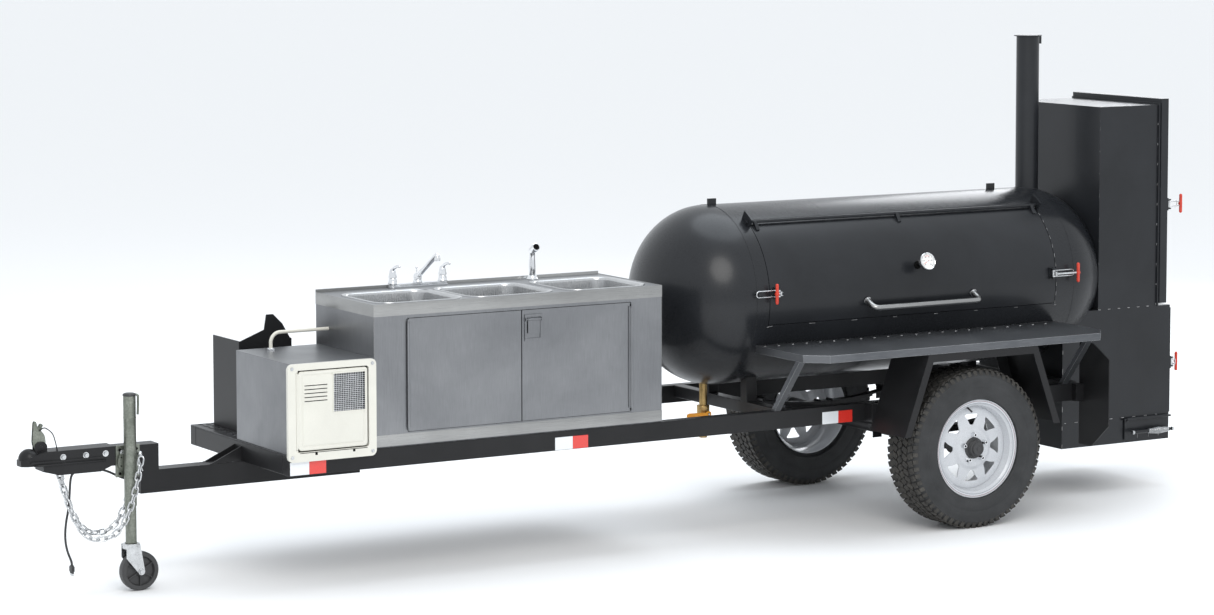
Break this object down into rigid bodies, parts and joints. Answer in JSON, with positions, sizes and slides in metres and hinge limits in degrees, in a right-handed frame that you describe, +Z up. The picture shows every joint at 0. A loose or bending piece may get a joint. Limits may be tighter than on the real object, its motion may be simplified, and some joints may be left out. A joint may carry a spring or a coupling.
{
  "type": "trailer smoker",
  "caption": "Trailer-mounted offset smoker: horizontal tank with firebox, warming box and chimney behind, sink cabinet and water heater in front.",
  "frame": {"origin": "on the ground under the middle of the object's length and width", "axes": "+X from the coupler to the firebox, +Y away from the side with the tank door, +Z up"},
  "size_m": [5.426, 1.524, 2.038],
  "materials": {
    "black_paint": "satin",
    "frame_paint": "satin",
    "deck_paint": "tread plate, satin",
    "stainless": "brushed",
    "bowl_steel": "satin",
    "shelf_steel": "worn",
    "chrome": "polished",
    "polished_steel": "polished",
    "zinc": "zinc plate",
    "bright_zinc": "zinc plate",
    "cover_white": "gloss",
    "wheel_white": "gloss",
    "rubber": "matt",
    "caster_black": "satin",
    "cable_black": "satin",
    "latch_red": "gloss",
    "lamp_red": "gloss",
    "brass": "satin",
    "valve_yellow": "gloss",
    "cast_iron": "rough",
    "grate_steel": "worn",
    "tank_plastic": "matt",
    "pipe_white": "satin"
  },
  "bodies": {
    "trailer": {"side_rails": "frame_paint", "cross_members": "frame_paint", "deck_plate": "deck_paint", "tongue": "frame_paint", "coupler": "frame_paint", "safety_chains": "bright_zinc", "wiring_cable": "cable_black", "wiring_plug": "cable_black", "jack_mount": "zinc", "fenders": "frame_paint", "lamps_and_tapes": "lamp_red", "axle_and_springs": "frame_paint", "tank_shell": "black_paint", "tank_fittings": "black_paint", "cooking_grates": "grate_steel", "side_shelf": "shelf_steel", "drain_pipe": "brass", "firebox_shell": "black_paint", "fire_grate": "cast_iron", "warm_box_shell": "black_paint", "warm_box_racks": "grate_steel", "chimney": "black_paint", "sink_cabinet": "stainless", "sink_bowls": "bowl_steel", "faucet_base": "chrome", "heater_box": "stainless", "heater_case": "cover_white", "water_pipe": "pipe_white", "gas_rack": "frame_paint", "water_tanks": "tank_plastic"},
    "near_road_wheel": {"near_tyre": "rubber", "near_wheel": "wheel_white"},
    "far_road_wheel": {"far_tyre": "rubber", "far_wheel": "wheel_white"},
    "cooker_door": {"tank_door": "black_paint", "door_handle": "polished_steel", "thermometer": "polished_steel"},
    "front_door_latch": {"front_latch": "latch_red"},
    "rear_door_latch": {"rear_latch": "latch_red"},
    "flue_cap": {"chimney_cap": "black_paint"},
    "warm_door": {"warm_box_door": "black_paint"},
    "warm_latch": {"warm_box_latch": "latch_red"},
    "fire_door": {"firebox_door": "black_paint"},
    "fire_latch": {"firebox_latch": "latch_red"},
    "ash_flap": {"ash_door": "black_paint"},
    "front_cupboard": {"front_cabinet_door": "stainless"},
    "rear_cupboard": {"rear_cabinet_door": "stainless"},
    "cupboard_latch": {"cabinet_latch": "stainless"},
    "spout": {"faucet_spout": "chrome"},
    "hot_lever": {"hot_tap": "chrome"},
    "cold_lever": {"cold_tap": "chrome"},
    "spray_head": {"sprayer": "chrome"},
    "heater_panel": {"heater_door": "cover_white"},
    "jack": {"jack_post": "zinc"},
    "jack_leg": {"jack_inner_tube": "zinc"},
    "jack_handle": {"jack_crank": "caster_black"},
    "caster": {"caster_fork": "zinc"},
    "caster_roller": {"caster_wheel": "caster_black"},
    "ball_latch": {"coupler_latch": "bright_zinc"},
    "drain_lever": {"valve_lever": "valve_yellow"}
  },
  "joints": [
    {"name": "near_wheel_spin", "type": "hinge", "parent": "trailer", "child": "near_road_wheel", "pos_m": [1.259, -0.628, 0.338], "axis": [0, 1, 0], "continuous": true},
    {"name": "far_wheel_spin", "type": "hinge", "parent": "trailer", "child": "far_road_wheel", "pos_m": [1.259, 0.628, 0.338], "axis": [0, 1, 0], "continuous": true},
    {"name": "cooker_door_hinge", "type": "hinge", "parent": "trailer", "child": "cooker_door", "pos_m": [1.185, -0.22316, 1.29849], "axis": [-1, 0, 0], "range_deg": [0, 95]},
    {"name": "front_latch_turn", "type": "hinge", "parent": "cooker_door", "child": "front_door_latch", "pos_m": [0.469, -0.397, 1.012], "axis": [0, 0, 1], "range_deg": [0, 105]},
    {"name": "rear_latch_turn", "type": "hinge", "parent": "cooker_door", "child": "rear_door_latch", "pos_m": [1.909, -0.397, 1.012], "axis": [0, 0, -1], "range_deg": [0, 105]},
    {"name": "flue_cap_hinge", "type": "hinge", "parent": "trailer", "child": "flue_cap", "pos_m": [2.122, 0, 2.024], "axis": [0, 1, 0], "range_deg": [0, 85]},
    {"name": "warm_door_hinge", "type": "hinge", "parent": "trailer", "child": "warm_door", "pos_m": [2.593, 0.33, 1.3], "axis": [0, 0, 1], "range_deg": [0, 110]},
    {"name": "warm_latch_turn", "type": "hinge", "parent": "warm_door", "child": "warm_latch", "pos_m": [2.628, -0.305, 1.276], "axis": [0, 0, -1], "range_deg": [0, 90]},
    {"name": "fire_door_hinge", "type": "hinge", "parent": "trailer", "child": "fire_door", "pos_m": [2.657, 0.3, 0.57], "axis": [0, 0, 1], "range_deg": [0, 110]},
    {"name": "fire_latch_turn", "type": "hinge", "parent": "fire_door", "child": "fire_latch", "pos_m": [2.676, -0.279, 0.556], "axis": [0, 0, -1], "range_deg": [0, 90]},
    {"name": "ash_flap_hinge", "type": "hinge", "parent": "trailer", "child": "ash_flap", "pos_m": [2.509, -0.316, 0.318], "axis": [-1, 0, 0], "range_deg": [0, 95]},
    {"name": "front_cupboard_hinge", "type": "hinge", "parent": "trailer", "child": "front_cupboard", "pos_m": [-1.295, -0.464, 0.8], "axis": [0, 0, -1], "range_deg": [0, 110]},
    {"name": "rear_cupboard_hinge", "type": "hinge", "parent": "trailer", "child": "rear_cupboard", "pos_m": [-0.285, -0.464, 0.8], "axis": [0, 0, 1], "range_deg": [0, 110]},
    {"name": "cupboard_latch_pull", "type": "hinge", "parent": "rear_cupboard", "child": "cupboard_latch", "pos_m": [-0.738, -0.467, 0.99], "axis": [-1, 0, 0], "range_deg": [0, 40], "stiffness_Nm_per_rad": 0.2},
    {"name": "spout_swivel", "type": "hinge", "parent": "trailer", "child": "spout", "pos_m": [-0.997, 0.028, 1.11], "axis": [0, 0, 1], "range_deg": [-60, 60]},
    {"name": "hot_tap_turn", "type": "hinge", "parent": "trailer", "child": "hot_lever", "pos_m": [-1.11, 0.028, 1.12], "axis": [0, 0, -1], "range_deg": [0, 90]},
    {"name": "cold_tap_turn", "type": "hinge", "parent": "trailer", "child": "cold_lever", "pos_m": [-0.884, 0.028, 1.12], "axis": [0, 0, 1], "range_deg": [0, 90]},
    {"name": "sprayer_lift", "type": "slide", "parent": "trailer", "child": "spray_head", "axis": [0, 0, 1], "range_m": [0, 0.2]},
    {"name": "heater_panel_hinge", "type": "hinge", "parent": "trailer", "child": "heater_panel", "pos_m": [-1.775, -0.466, 0.7], "axis": [0, 0, -1], "range_deg": [0, 100]},
    {"name": "jack_swing", "type": "hinge", "parent": "trailer", "child": "jack", "pos_m": [-2.293, -0.046, 0.5], "axis": [0, -1, 0], "range_deg": [0, 60]},
    {"name": "jack_lift", "type": "slide", "parent": "jack", "child": "jack_leg", "axis": [0, 0, 1], "range_m": [-0.15, 0.09]},
    {"name": "jack_crank_turn", "type": "hinge", "parent": "jack", "child": "jack_handle", "pos_m": [-2.293, -0.075, 0.7], "axis": [0, 0, 1], "continuous": true},
    {"name": "caster_swivel", "type": "hinge", "parent": "jack_leg", "child": "caster", "pos_m": [-2.293, -0.075, 0.17], "axis": [0, 0, 1], "continuous": true},
    {"name": "caster_roll", "type": "hinge", "parent": "caster", "child": "caster_roller", "pos_m": [-2.263, -0.075, 0.076], "axis": [0, 1, 0], "continuous": true},
    {"name": "ball_latch_turn", "type": "hinge", "parent": "trailer", "child": "ball_latch", "pos_m": [-2.628, 0, 0.58], "axis": [0, 1, 0], "range_deg": [0, 65]},
    {"name": "drain_lever_turn", "type": "hinge", "parent": "trailer", "child": "drain_lever", "pos_m": [0.348, -0.042, 0.47], "axis": [0, -1, 0], "range_deg": [0, 90]}
  ]
}
